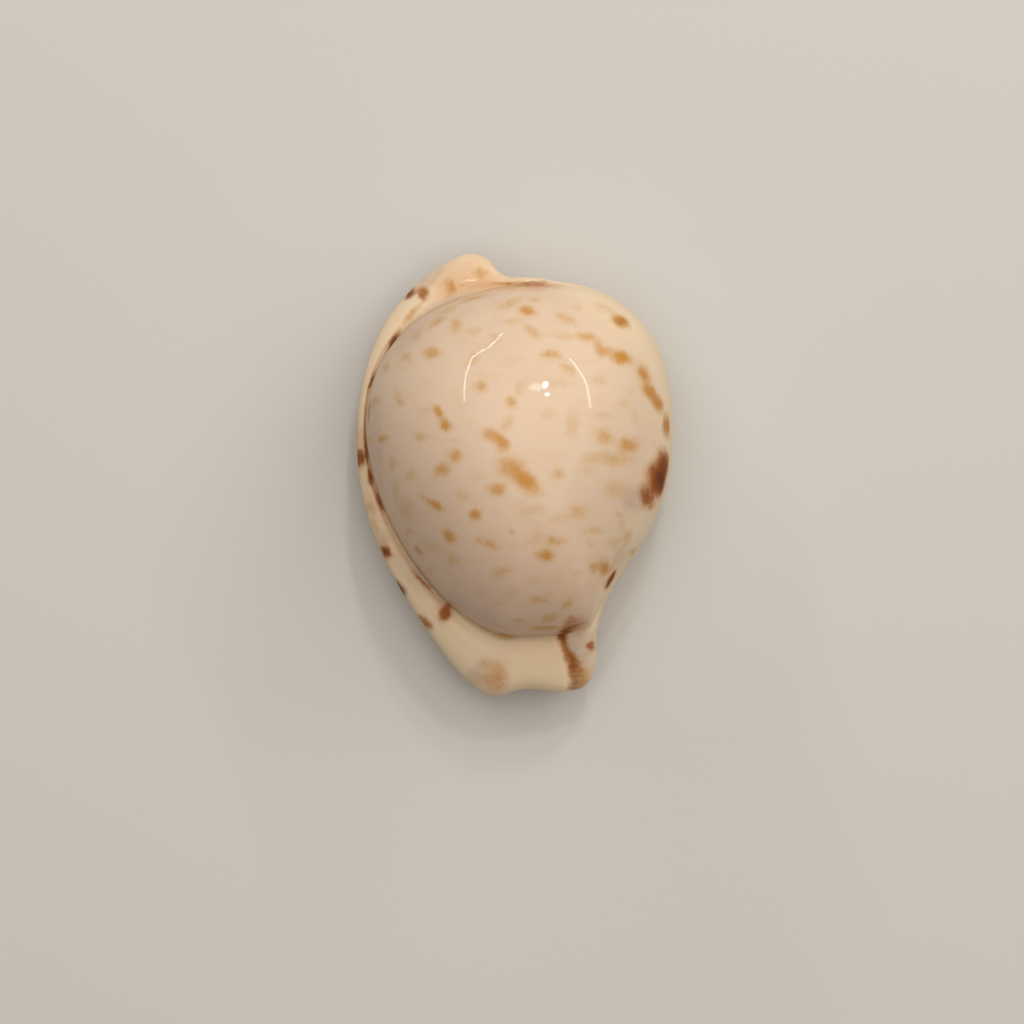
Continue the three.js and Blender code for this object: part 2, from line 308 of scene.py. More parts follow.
# Where the outside ends, along the rails
ROUND_EDGE = (EDGE, EDGE + 1)


def teeth(t, v, height):
    """How far the teeth stand out of the two lips."""
    ridge = 0.5 + 0.5 * np.cos(2 * np.pi * t * TEETH_PER_STATION) - TOOTH_HOLLOW
    weaker_toward_spire = 0.85 - 0.35 * smooth(20, 29, t)
    rows = band(*OUTER_ROW, t) + band(*INNER_ROW, t) * weaker_toward_spire
    start = np.where(t < FRONT, BASE + 0.2, LIP - 0.4)
    return height * ridge * rows * band((start, start + 0.9), (LIP_TOP + 0.5, INSIDE), v)


def from_path(place, path):
    """Signed distance in plan from a path, positive on its +X side."""
    best = np.full(place.shape[:-1], np.inf)
    signed = np.zeros_like(best)
    for a, b in zip(path, path[1:]):
        a, step = np.array(a), np.array(b) - np.array(a)
        f = np.clip(((place - a) @ step) / (step @ step), 0, 1)
        gap = place - (a + f[..., None] * step)
        distance = np.linalg.norm(gap, axis=-1)
        closer = distance < best
        best = np.where(closer, distance, best)
        signed = np.where(closer, np.sign(gap[..., 0] + 1e-9) * distance, signed)
    return signed


def seam(point, v, depth):
    """The seam's groove: steep on its left, and fading up the lobe on its right."""
    s = from_path(point[..., :2], SEAM)
    width = np.where(s < 0, SEAM_LEFT, SEAM_RIGHT)
    return -depth * np.exp(-(s / width) ** 2) * band((FOOT + 0.3, GROOVE), ROUND_EDGE, v)


def seam_stain(point):
    """The stain along the seam: a short edge on its left, and a slow fade on its right."""
    s = from_path(point[..., :2], SEAM)
    y, strength, width = SEAM_STAIN.T
    strength = np.interp(point[..., 1], y, strength)
    width = np.interp(point[..., 1], y, width)
    fade = (STAIN_FADE[0] * width, STAIN_FADE[1] * width)
    return strength * band(STAIN_EDGE, fade, s)


def spire(point, v):
    """The sunken spire on the back wall: a ring with a spiral line round a small pit."""
    gap = point - np.array(SPIRE)
    r = np.linalg.norm(gap, axis=-1)
    turn = np.arctan2(gap[..., 2], gap[..., 0])
    spiral = 0.5 + 0.5 * np.cos(turn + r * SPIRE_TURN_PER_MM)
    outside = 1 - smooth(*ROUND_EDGE, v)
    pit = -PIT_DEPTH * np.exp(-(r / PIT_RADIUS) ** 2)
    ring = RING_HEIGHT * np.exp(-((r - RING_RADIUS) / RING_WIDTH) ** 2)
    return (pit + ring * (0.7 + 0.3 * spiral)) * outside


def ripples(point, v, height):
    """Faint waves in the polish of the outside, which make the highlights a little uneven."""
    flat = point.reshape(-1, 3) / RIPPLE_LENGTH
    wave = np.array([noise.noise(Vector(p)) for p in flat]).reshape(v.shape)
    return height * wave * smooth(0, 1, v) * (1 - smooth(*ROUND_EDGE, v))


def fit_to_frame(point):
    """Sets the points, in millimetres, to the CAD shell's exact box, in metres."""
    low, high = point.reshape(-1, 3).min(0), point.reshape(-1, 3).max(0)
    box_low, box_high = np.array(SHELL_LOW), np.array(SHELL_HIGH)
    return box_low + (point - low) / (high - low) * (box_high - box_low)


def shell_grid(settings):
    """Points in metres, with the station t and place v of each, for every ring and segment of the mesh."""
    rings = np.concatenate([[0], np.cumsum(RING_COUNTS)])
    places = np.interp(np.arange(rings[-1] + 1), rings, RING_PLACES)
    stations = COUNT * np.arange(SEGMENTS) / SEGMENTS
    t, v = np.meshgrid(stations, places)
    point = sheet(t, v)
    relief = teeth(t, v, settings.tooth_height / MM)
    relief += seam(point, v, settings.seam_depth / MM) + spire(point, v)
    relief += ripples(point, v, settings.ripple_height / MM)
    point += outward(point) * relief[..., None]
    point[..., 2] = np.maximum(point[..., 2], 0)
    return fit_to_frame(point), t, v


# ---------------------------------------------------------------------------
# Markings, each a soft spot on the surface
# x, y, length, width in millimetres, turn in degrees from +X, strength
# ---------------------------------------------------------------------------

FRECKLES = (
    # back of the dome
    (13.3, 19.4, 2.2, 1.6, -25, 1.0), (1.6, 20.8, 2.1, 1.3, 0, 0.95),
    (2.4, 22.2, 1.8, 0.7, 0, 0.5), (-0.7, 21.7, 2.8, 1.0, 20, 0.5),
    (6.4, 19.9, 2.8, 0.9, -30, 0.6), (-0.4, 19.5, 1.8, 0.8, 0, 0.4), (2.1, 17.8, 2.6, 1.0, -35, 0.6),
    (8.8, 17.5, 2.1, 1.0, 0, 0.75), (10.4, 16.8, 1.5, 0.9, -30, 0.6), (11.0, 15.6, 1.7, 1.3, -30, 0.8),
    (13.3, 14.8, 3.1, 1.6, -20, 1.0), (4.4, 15.3, 2.0, 1.2, 0, 0.75), (6.2, 17.3, 2.2, 0.7, 0, 0.35),
    (6.8, 13.4, 1.9, 1.1, -25, 0.6), (10.7, 12.0, 1.7, 1.4, 0, 0.35), (5.5, 11.4, 2.8, 0.9, 0, 0.35),
    (-7.4, 18.9, 1.6, 1.3, 90, 0.65), (-10.0, 19.4, 2.4, 1.0, 30, 0.65), (-10.5, 15.5, 1.9, 1.3, 0, 0.78),
    (-13.6, 14.8, 1.2, 1.1, 0, 0.59), (-12.4, 17.5, 1.3, 0.9, 90, 0.52), (-5.5, 14.6, 2.1, 1.0, 45, 0.52),
    (-5.2, 18.2, 1.8, 0.8, 0, 0.39), (-2.6, 17.6, 1.2, 0.8, 0, 0.4),
    # middle of the dome
    (-4.6, 11.3, 1.7, 1.3, 0, 0.78), (-0.3, 9.3, 1.3, 1.3, 0, 0.8), (0.6, 10.8, 1.6, 0.8, 75, 0.4),
    (-9.7, 7.9, 1.9, 1.1, -60, 0.91), (-8.8, 6.3, 1.9, 1.4, -45, 0.98), (-12.2, 4.8, 1.5, 1.2, 0, 0.59),
    (-16.6, 4.6, 1.7, 0.9, 0, 0.78), (-14.2, 9.3, 1.1, 0.9, 0, 0.52), (-1.1, 6.6, 1.7, 1.1, 60, 0.5),
    (-2.9, 5.1, 2.4, 1.7, -20, 0.8), (-1.6, 4.0, 1.9, 1.7, -40, 0.9), (7.3, 6.3, 3.0, 1.3, 90, 0.4),
    (11.3, 7.3, 1.8, 0.8, 0, 0.35), (11.2, 4.9, 2.2, 2.0, 0, 0.65), (14.2, 3.7, 2.5, 2.0, 0, 0.85),
    (10.4, 2.1, 4.0, 1.5, 5, 0.45), (13.0, 1.9, 3.6, 1.6, 0, 0.5), (4.1, 7.5, 1.7, 1.4, 0, 0.3),
    (-7.8, 2.4, 1.8, 1.5, -30, 0.78), (-9.0, 0.8, 1.9, 1.4, 45, 0.78), (-15.5, 1.5, 1.5, 0.9, 90, 0.52),
    (-13.3, 0.0, 1.2, 1.1, 0, 0.52), (5.4, 0.0, 1.6, 1.2, 0, 0.65),
    (-0.5, 0.9, 3.4, 2.6, -25, 0.85), (1.4, -0.7, 3.4, 2.1, -45, 1.0), (-2.5, -1.9, 2.2, 1.6, 0, 0.85),
    (-6.7, -2.6, 1.5, 0.9, 0, 0.45), (-5.0, -4.9, 1.6, 1.4, 0, 1.0), (-11.4, -2.9, 2.8, 0.7, -35, 0.65),
    (-9.8, -3.9, 1.9, 1.2, -30, 0.98), (-13.7, -4.3, 2.4, 1.6, 90, 0.45), (12.8, -2.0, 2.8, 2.0, 0, 0.5),
    # front of the dome
    (-13.5, -7.1, 1.4, 1.0, 0, 0.52), (-8.4, -7.7, 1.9, 1.4, -40, 0.91), (-4.5, -8.1, 1.2, 0.8, 0, 0.65),
    (-3.3, -8.9, 1.9, 1.0, -20, 0.78), (-7.8, -10.6, 1.5, 1.2, 0, 0.52), (4.8, -8.2, 2.6, 1.3, 0, 0.75),
    (2.6, -7.5, 1.2, 1.0, 0, 0.4), (1.2, -5.0, 2.0, 0.9, 10, 0.3), (2.7, -4.2, 2.2, 1.0, 10, 0.3),
    (7.8, -4.7, 2.2, 1.5, 10, 0.6), (5.8, -5.6, 2.2, 0.8, 15, 0.3), (9.7, -7.0, 2.4, 0.9, 5, 0.5),
    (9.6, -8.8, 1.0, 0.9, 0, 0.35), (12.6, -8.5, 1.6, 1.5, 0, 0.45), (14.1, -8.0, 1.8, 1.2, 80, 0.5),
    (13.3, -4.9, 1.0, 0.8, 0, 0.4), (4.0, -10.3, 2.3, 1.3, 0, 0.95), (-1.7, -12.2, 2.6, 1.1, 15, 0.6),
    (5.7, -13.3, 1.2, 1.0, 0, 0.3), (9.9, -11.6, 1.7, 1.3, 20, 0.75),
    (11.4, -11.8, 1.8, 1.5, 30, 0.9), (3.3, -15.8, 2.2, 1.0, 0, 0.65),
    (6.4, -16.3, 1.9, 1.0, 45, 0.7), (4.4, -15.0, 1.7, 0.6, 15, 0.35), (-2.4, -16.3, 3.0, 0.7, 0, 0.3),
    (0.4, -18.2, 1.4, 1.0, 0, 0.65), (4.3, -18.0, 2.4, 1.0, 25, 0.7), (3.6, -19.3, 3.6, 0.9, -3, 0.85),
    (-1.2, -20.3, 2.8, 0.8, -3, 0.8), (-3.8, -19.4, 2.2, 0.7, -25, 0.52), (-12.1, -9.8, 1.6, 0.8, -50, 0.91),
    # margin
    (16.3, 12.5, 2.2, 1.5, -60, 0.95), (16.9, 10.6, 2.4, 1.5, -55, 0.95), (18.0, 9.2, 2.4, 1.5, -60, 1.0),
    (19.1, 6.1, 2.8, 1.5, -85, 1.0), (-17.7, 9.2, 1.5, 0.9, 90, 0.7), (-8.3, 23.7, 1.7, 1.3, 80, 0.85),
    (-4.5, 25.4, 1.7, 1.1, 0, 0.65), (-6.5, 24.2, 1.6, 0.8, 10, 0.39), (-19.7, 4.9, 1.9, 0.9, 90, 0.5),
    (-18.2, -4.3, 1.6, 1.1, -60, 0.5), (-17.8, -6.3, 1.8, 0.9, -65, 0.5), (-0.6, 23.9, 3.0, 1.3, 0, 0.7),
    (-2.6, -25.4, 2.8, 2.2, 80, 0.3), (-3.9, -23.7, 1.4, 1.0, 0, 0.45), (8.5, -25.8, 2.2, 1.8, 80, 0.6),
    # faint ones; the first three, along the dome's foot at the back left, are partly tan streaks and partly
    # painted shade
    (-12.8, 20.4, 2.6, 0.8, 45, 0.65), (-5.3, 22.3, 3.6, 0.9, 8, 0.65), (-8.6, 20.9, 2.6, 0.8, 25, 0.45),
    (11.5, 21.0, 3.2, 1.0, -25, 0.35), (7.5, 21.3, 1.2, 0.8, 0, 0.3), (12.6, 19.6, 2.0, 1.0, 30, 0.35),
    (-11.4, 8.0, 1.6, 1.0, 0, 0.26), (-16.4, 13.4, 1.6, 0.9, 60, 0.52), (-14.8, 9.9, 0.9, 1.4, 0, 0.39),
    (-18.1, 4.2, 0.7, 1.4, 0, 0.5), (13.9, 8.9, 1.6, 1.2, 0, 0.25), (15.0, 7.4, 1.8, 1.0, -60, 0.25),
    (9.0, 0.6, 2.6, 1.0, 0, 0.3), (-10.2, -9.2, 2.8, 1.1, 0, 0.33), (-10.6, -12.0, 1.8, 1.0, 30, 0.39),
    (2.0, -8.4, 1.8, 0.8, 0, 0.3), (7.8, -12.4, 1.4, 0.9, 0, 0.35), (2.2, -13.2, 2.4, 1.2, 0, 0.25),
    (11.3, -10.6, 1.2, 0.9, 0, 0.4), (13.4, -6.4, 1.0, 1.6, 0, 0.3), (-4.6, -14.6, 2.0, 0.8, 20, 0.26),
    (-0.6, -15.0, 2.6, 0.8, 30, 0.3), (8.0, -15.2, 1.2, 0.8, 0, 0.3), (-15.0, -2.0, 0.9, 2.2, 0, 0.39),
)

RUST = (
    (13.3, 19.4, 1.5, 1.1, -25, 0.4), (-11.4, 22.9, 1.9, 1.3, 90, 0.65), (-13.1, 22.9, 1.9, 1.0, 50, 0.65),
    (-15.3, 16.9, 2.8, 0.7, 60, 0.75), (-17.9, 12.0, 2.4, 0.5, 70, 0.7), (2.6, 24.0, 5.4, 1.4, -4, 0.5),
    (-19.5, 2.1, 2.1, 1.2, 90, 0.85), (-18.3, -0.4, 1.9, 0.6, -75, 0.65), (-17.0, -3.2, 2.7, 0.7, -70, 0.65),
    (-16.3, -9.6, 1.9, 1.4, -60, 0.75), (-14.6, -14.4, 2.4, 0.8, -55, 0.8),
    (-8.7, -17.5, 2.0, 1.3, 60, 0.8), (-2.4, -25.6, 3.2, 2.4, 80, 0.28),
    (-11.4, -18.6, 2.2, 1.0, -50, 0.6), (18.8, 1.6, 3.4, 1.9, -70, 0.85), (18.0, -0.6, 4.2, 2.6, -72, 1.0),
    (16.6, -2.6, 3.0, 1.8, -68, 0.68), (17.2, -3.6, 2.2, 1.1, -60, 0.35),
    (12.0, -13.2, 2.4, 1.0, 52, 0.95), (11.5, -11.9, 1.3, 1.1, 35, 0.3),
    (14.9, -9.7, 1.2, 1.0, 0, 0.35), (6.9, -18.5, 1.8, 1.2, 35, 0.45), (5.8, -20.3, 1.1, 1.0, 70, 0.7),
    (17.6, 9.6, 2.6, 1.1, -58, 0.25), (16.2, 12.7, 1.4, 0.9, -60, 0.2), (19.2, 6.1, 2.2, 0.9, -85, 0.35),
    (9.6, -21.5, 1.4, 0.9, 75, 0.7), (-18.4, 8.0, 3.0, 0.5, 85, 0.45),
    (-11.6, -13.7, 2.8, 0.5, -48, 0.55), (-18.6, 3.8, 3.4, 0.5, 90, 0.5), (-9.6, -15.6, 2.6, 0.6, -42, 0.25),
)

PLUM = (
    (18.5, -0.6, 3.4, 1.5, -74, 0.56), (18.8, 1.3, 2.4, 1.0, -75, 0.28), (16.6, -2.6, 1.8, 0.8, -70, 0.21),
    (12.0, -13.2, 1.6, 0.6, 52, 0.42), (-13.1, 22.9, 1.5, 0.9, 50, 0.52), (-14.4, -14.3, 2.0, 0.9, -55, 0.52),
    (5.8, -20.3, 0.9, 0.7, -75, 0.21), (-16.3, -9.7, 1.4, 1.0, -60, 0.39), (-15.4, 16.8, 1.8, 0.5, 60, 0.49),
    (-18.0, 11.9, 1.4, 0.4, 70, 0.35), (-17.0, -3.0, 1.4, 0.4, -70, 0.28), (-0.6, -7.1, 0.8, 0.7, 0, 0.21),
)

PEACH = (
    (-6.8, 24.9, 7.5, 4.0, 20, 0.6), (-3.4, 24.2, 4.6, 2.4, 0, 0.6), (-8.4, 23.7, 2.2, 2.0, 0, 0.6),
    (-19.5, 4.6, 2.6, 1.3, 90, 0.6), (-18.3, -3.6, 3.2, 1.4, -60, 0.3), (-16.0, -9.4, 3.6, 2.4, -55, 0.3),
    (-3.1, -25.2, 4.6, 3.6, 60, 0.45), (8.9, -25.6, 3.0, 2.6, 80, 0.4), (17.4, -2.0, 6.4, 3.6, -65, 0.35),
    (0.4, 23.7, 6.0, 1.8, 0, 0.5), (-8.7, -17.5, 3.0, 2.4, 60, 0.35), (6.3, -19.4, 3.0, 2.6, 60, 0.35),
    (16.6, 11.5, 5.4, 2.4, -58, 0.3), (12.2, -12.0, 4.2, 2.4, 50, 0.3), (-1.6, -20.1, 5.0, 0.9, -5, 0.4),
)

# Greyish lilac: the short marks beside the dark marks are the shell's own haze; the long ones along the
# dome's foot are painted shade
LILAC_HAZE_AND_SHADE = (
    (15.0, -3.1, 3.0, 2.4, -60, 0.5), (9.4, -20.4, 2.8, 2.4, 0, 0.4),
    (8.0, -22.0, 3.6, 3.0, 75, 0.4), (-10.6, 24.7, 3.8, 1.4, 40, 0.45),
    (13.2, -10.4, 3.2, 2.0, 50, 0.35), (-4.9, -25.4, 3.0, 2.2, 60, 0.4), (8.9, -23.4, 3.4, 2.4, 80, 0.35),
    (-11.9, -13.2, 9.0, 2.6, -48, 0.35), (-13.4, 17.4, 5.0, 2.0, 45, 0.3), (-16.6, -8.0, 2.6, 1.6, -60, 0.3),
    (-5.5, -17.2, 9.0, 2.4, -28, 0.3), (-8.5, 21.7, 6.0, 1.4, 30, 0.3), (-17.3, 3.0, 12.0, 1.6, 88, 0.3),
)

# The markings' places are as they appear, on the level of the margin, to an eye high over the front
EYE = (-0.4, -4.7, 491.0)
MARGIN_SHARE = 0.25
MARGIN_LEVEL = MARGIN_SHARE * HEIGHT

# Where a marking's edge fades, in parts of its radius, and how much of a step down a steep side counts
SPOT_EDGE = (0.35, 1.75)
STEEPNESS = 0.22

# The two noises that push the markings' edges about: the size of each and how far it pushes
UNEVENNESS = ((2.2, 0.4), (0.8, 0.2))

# Brown marks along the hidden underside of the margin: how many, and their ranges of size and strength
BASE_MARKS = 26
BASE_SEED = 11
EDGE_SEED = 7
BASE_LENGTH, BASE_WIDTH, BASE_STRENGTH = (1.6, 3.6), (1.0, 1.8), (0.25, 0.8)


def uneven(point):
    """The points, pushed about by smooth noises, which gives the spots their uneven edges."""
    for size, amount in UNEVENNESS:
        flat = point.reshape(-1, 3) / size
        push = np.array([noise.noise_vector(Vector(p)) for p in flat])
        point = point + push.reshape(point.shape) * amount
    return point


def spot(point, centre, axis, length, width, steepness=STEEPNESS):
    """A soft oval round centre: 1 inside, and 0 from a little past its edge. It runs on down a steep side."""
    gap = (point - centre) * (1, 1, steepness)
    along = gap @ axis
    beside = np.sqrt(np.maximum((gap ** 2).sum(-1) - along ** 2, 0))
    r = np.sqrt((2 * along / length) ** 2 + (2 * beside / width) ** 2)
    return 1 - smooth(*SPOT_EDGE, r)


def from_eye(point):
    """Where each point appears on the level of the margin, seen from the eye."""
    nearness = (EYE[2] - MARGIN_LEVEL) / (EYE[2] - point[..., 2:])
    return EYE[:2] + (point[..., :2] - EYE[:2]) * nearness


def spotted(point, shaky, marks, seen):
    """Adds up a list of markings, each centred on the part of the surface that is seen at its place."""
    mask = np.zeros(point.shape[:-1])
    place = from_eye(point)
    for x, y, length, width, turn, strength in marks:
        apart = np.where(seen, ((place - (x, y)) ** 2).sum(-1), np.inf)
        centre = point[np.unravel_index(np.argmin(apart), apart.shape)]
        axis = np.array([math.cos(math.radians(turn)), math.sin(math.radians(turn)), 0])
        mask = 1 - (1 - mask) * (1 - strength * spot(shaky, centre, axis, length, width))
    return mask


def base_spots(point, shaky, v):
    """Soft brown marks scattered round the underside of the margin."""
    pick = np.random.default_rng(BASE_SEED)
    row = int(np.argmin(np.abs(v[:, 0] - (EDGE + 0.9))))
    mask = np.zeros(point.shape[:-1])
    for i in range(BASE_MARKS):
        column = int((i + pick.uniform(-0.3, 0.3)) / BASE_MARKS * SEGMENTS) % SEGMENTS
        centre = point[row + pick.integers(-5, 5), column]
        axis = np.array([-centre[0], -centre[1], 0]) / np.hypot(centre[0], centre[1])
        length, width, strength = (pick.uniform(*r) for r in (BASE_LENGTH, BASE_WIDTH, BASE_STRENGTH))
        mask = 1 - (1 - mask) * (1 - strength * spot(shaky, centre, axis, length, width, 1.0))
    return mask


def shell_masks(point_m, t, v):
    """The painted masks, one value for each vertex of the grid."""
    point = point_m / MM
    noise.seed_set(EDGE_SEED)
    shaky = uneven(point)
    seen = v < EDGE
    ledge = np.interp(t, np.arange(COUNT + 1), np.append(STATIONS[:, 3], STATIONS[0, 3]))
    # the margin's colour starts just above the groove on the ledges, and high on the side where there is none
    start = 5.8 + 3.4 * ledge
    margin = smooth(start - 1.4 + 0.9 * ledge, start + 0.9 - 0.4 * ledge, v)
    # The groove's brown stain and painted shade, where the crease lies in shadow, are stronger on the outer
    # lip's side
    darker_by_outer_lip = 0.3 + 0.7 * smooth(-6, -16, point[..., 0])
    return {
        "freckle": spotted(point, shaky, FRECKLES, seen),
        "rust": np.maximum.reduce([spotted(point, shaky, RUST, seen), base_spots(point, shaky, v),
                                   seam_stain(shaky) * (v < EDGE + 0.5)]),
        "plum": spotted(point, shaky, PLUM, seen),
        "peach": spotted(point, shaky, PEACH, seen),
        # greyish haze beside the dark marks, and painted shade along the dome's foot
        "lilac_haze_and_shade": spotted(point, shaky, LILAC_HAZE_AND_SHADE, seen),
        # painted shade: the back is darker and pinker toward its lower left, away from the light
        "shade_and_blush": smooth(-8, 26, -0.45 * point[..., 0] - point[..., 1]),
        "margin": margin,
        "inside": smooth(LIP_TOP, INSIDE, v),
        # brown stain and painted shade along the groove
        "groove": np.exp(-((v - GROOVE + 0.6) / 0.9) ** 2) * ledge * darker_by_outer_lip,
    }


# ---------------------------------------------------------------------------
# The glaze
# ---------------------------------------------------------------------------

def add_node(tree, kind, values=None, **settings):
    """Adds a node with its settings, and sets or links each named or numbered input."""
    node = tree.nodes.new(kind)
    for name, value in settings.items():
        setattr(node, name, value)
    for socket, value in (values or {}).items():
        if isinstance(value, bpy.types.NodeSocket):
            tree.links.new(value, node.inputs[socket])
        else:
            node.inputs[socket].default_value = value
    return node


def mix_colours(tree, factor, a, b):
    """Mixes two colours by a factor that changes over the surface."""
    return add_node(tree, "ShaderNodeMix", {0: factor, 6: a, 7: b}, data_type="RGBA").outputs[2]


def noise_pattern(tree, place, scale, detail=2.0):
    """A cloudy pattern, from 0 to 1."""
    values = {"Vector": place, "Scale": scale, "Detail": detail}
    return add_node(tree, "ShaderNodeTexNoise", values).outputs[0]


def maths(tree, operation, *values):
    """One step of arithmetic."""
    return add_node(tree, "ShaderNodeMath", dict(enumerate(values)), operation=operation).outputs[0]


def grainy_edge_group():
    """A node group that breaks up the edge of a soft mask with fine grain, and leaves its middle alone."""
    group = bpy.data.node_groups.new("grainy_edge", "ShaderNodeTree")
    group.interface.new_socket("Mask", in_out="INPUT", socket_type="NodeSocketFloat")
    grain = group.interface.new_socket("Grain", in_out="INPUT", socket_type="NodeSocketFloat")
    grain.default_value = 0.5
    size = group.interface.new_socket("Size", in_out="INPUT", socket_type="NodeSocketFloat")
    size.default_value = 0.8 * MM
    group.interface.new_socket("Mask", in_out="OUTPUT", socket_type="NodeSocketFloat")
    given = group.nodes.new("NodeGroupInput").outputs
    place = add_node(group, "ShaderNodeTexCoord").outputs["Object"]
    scale = maths(group, "DIVIDE", 1.0, given["Size"])
    speckle = noise_pattern(group, place, scale, 3.0)
    edge = maths(group, "MULTIPLY", given["Mask"], maths(group, "SUBTRACT", 1.0, given["Mask"]))
    push = maths(group, "MULTIPLY", maths(group, "SUBTRACT", speckle, 0.5), given["Grain"])
    shift = maths(group, "MULTIPLY", maths(group, "MULTIPLY", edge, push), 8.0)
    total = add_node(group, "ShaderNodeMath", {0: given["Mask"], 1: shift}, operation="ADD", use_clamp=True)
    result = group.nodes.new("NodeGroupOutput")
    group.links.new(total.outputs[0], result.inputs["Mask"])
    return group


def glaze_material(settings):
    """Polished shell: a pinkish cream back, a yellower margin, tan freckles and rust and plum marks, with
    painted shade on the back's lower left, along the dome's foot and in the groove.
    """
    material = bpy.data.materials.new("cowrie_glaze")
    material.use_nodes = True
    tree = material.node_tree
    shader = tree.nodes["Principled BSDF"]
    place = add_node(tree, "ShaderNodeTexCoord").outputs["Object"]
    edges = grainy_edge_group()

    def painted(name):
        return add_node(tree, "ShaderNodeAttribute", attribute_name=name).outputs["Fac"]

    def mask(name, grain=0.25, size=0.6):
        values = {"Mask": painted(name), "Grain": grain, "Size": size * MM}
        return add_node(tree, "ShaderNodeGroup", values, node_tree=edges).outputs["Mask"]

    def cloud(size):
        return noise_pattern(tree, place, 1 / (size * MM))

    def ranged(value, low, high, out_low=0.0, out_high=1.0):
        values = {"Value": value, "From Min": low, "From Max": high, "To Min": out_low, "To Max": out_high}
        return add_node(tree, "ShaderNodeMapRange", values).outputs[0]

    def scaled(value, amount):
        return maths(tree, "MULTIPLY", value, amount)

    flat = add_node(tree, "ShaderNodeMapping", {"Vector": place, "Scale": (0.6, 1.5, 0.6)}).outputs[0]
    mottle = noise_pattern(tree, flat, 1 / (2.4 * MM))
    # Painted shade darkens the back toward its lower left, with pinker clouds at random over the whole back
    shade_and_blush = maths(tree, "ADD", scaled(painted("shade_and_blush"), 0.75), ranged(cloud(9), 0.3, 0.7, 0.0, 0.35))
    back = mix_colours(tree, shade_and_blush, settings.back_colour, settings.shade_and_blush_colour)
    rim = mix_colours(tree, ranged(cloud(7), 0.35, 0.65), settings.margin_colour, settings.cream_colour)
    colour = mix_colours(tree, mask("margin", 0.2, 1.5), back, rim)
    colour = mix_colours(tree, scaled(mask("peach", 0.3, 1.2), 0.8), colour, settings.peach_colour)
    # Greyish haze beside the dark marks, and painted shade along the dome's foot
    colour = mix_colours(tree, scaled(mask("lilac_haze_and_shade", 0.3, 1.2), 0.8), colour, settings.lilac_haze_and_shade_colour)
    # Brown stain and painted shade along the groove
    colour = mix_colours(tree, scaled(mask("groove"), 0.4), colour, settings.groove_stain_and_shade_colour)
    on_back = maths(tree, "SUBTRACT", 1.0, painted("margin"))
    flecks = maths(tree, "MULTIPLY", ranged(mottle, 0.52, 0.75, 0.0, 0.2), on_back)
    colour = mix_colours(tree, flecks, colour, settings.tan_colour)
    tan = mix_colours(tree, ranged(mask("freckle"), 0.45, 1.0), settings.tan_colour, settings.orange_colour)
    colour = mix_colours(tree, mask("freckle"), colour, tan)
    colour = mix_colours(tree, ranged(mask("rust"), 0.0, 0.75), colour, settings.ginger_colour)
    colour = mix_colours(tree, ranged(mask("rust"), 0.3, 1.05), colour, settings.rust_colour)
    colour = mix_colours(tree, mask("plum"), colour, settings.plum_colour)
    colour = mix_colours(tree, mask("inside", 0.0), colour, settings.inside_colour)
    tree.links.new(colour, shader.inputs["Base Color"])

    shader.inputs["Roughness"].default_value = 0.3
    tree.links.new(ranged(mask("rust"), 0.0, 0.6, 0.3, 0.06), shader.inputs["Coat Weight"])
    shader.inputs["Specular IOR Level"].default_value = 0.0
    shader.inputs["Coat Roughness"].default_value = 0.03
    shader.inputs["Subsurface Weight"].default_value = 0.04
    shader.inputs["Subsurface Radius"].default_value = (1.0, 0.6, 0.4)
    shader.inputs["Subsurface Scale"].default_value = 1.2 * MM
    return material


# ---------------------------------------------------------------------------
# Building
# ---------------------------------------------------------------------------

